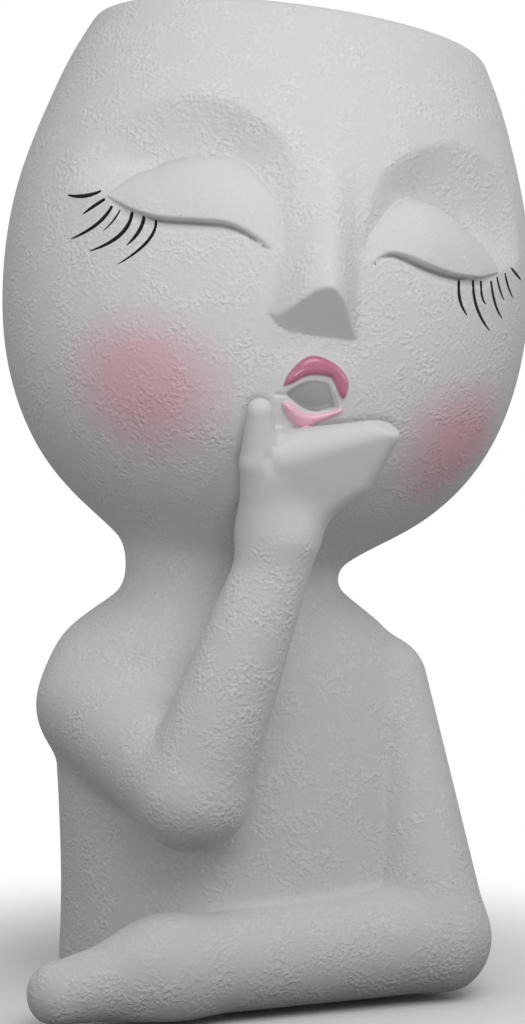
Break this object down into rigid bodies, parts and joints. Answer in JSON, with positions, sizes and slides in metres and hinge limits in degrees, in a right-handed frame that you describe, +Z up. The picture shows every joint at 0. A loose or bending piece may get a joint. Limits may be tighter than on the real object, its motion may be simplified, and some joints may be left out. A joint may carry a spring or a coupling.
{
  "type": "head planter",
  "caption": "Bust-shaped planter with a tilted, open-topped head as the bowl, one hand raised to the chin, a drain through the body, a lift-out screen and a pull-out plug.",
  "frame": {"origin": "middle of the bust's standing face, on the surface it stands on", "axes": "+Z up, the face looks along -Y, the tilted head leans towards +X"},
  "size_m": [0.1217, 0.1095, 0.2209],
  "materials": {
    "painted_resin": "matte",
    "bare_resin": "matte",
    "steel_pin": "satin",
    "foam_pad": "matte",
    "tube_plastic": "satin",
    "plug_rubber": "matte",
    "screen_plastic": "satin"
  },
  "bodies": {
    "planter": {"head_bowl": "painted_resin", "torso_shell": "painted_resin", "raised_forearm": "painted_resin", "elbow_dowel": "steel_pin", "base_plate": "bare_resin", "base_pad": "foam_pad", "drain_tube": "tube_plastic"},
    "screen": {"drain_screen": "screen_plastic"},
    "plug": {"drain_plug": "plug_rubber"}
  },
  "joints": [
    {"name": "screen_lift", "type": "slide", "parent": "planter", "child": "screen", "axis": [0, 0, 1], "range_m": [0, 0.12]},
    {"name": "plug_pull", "type": "slide", "parent": "planter", "child": "plug", "axis": [0, 0, -1], "range_m": [0, 0.02]}
  ]
}
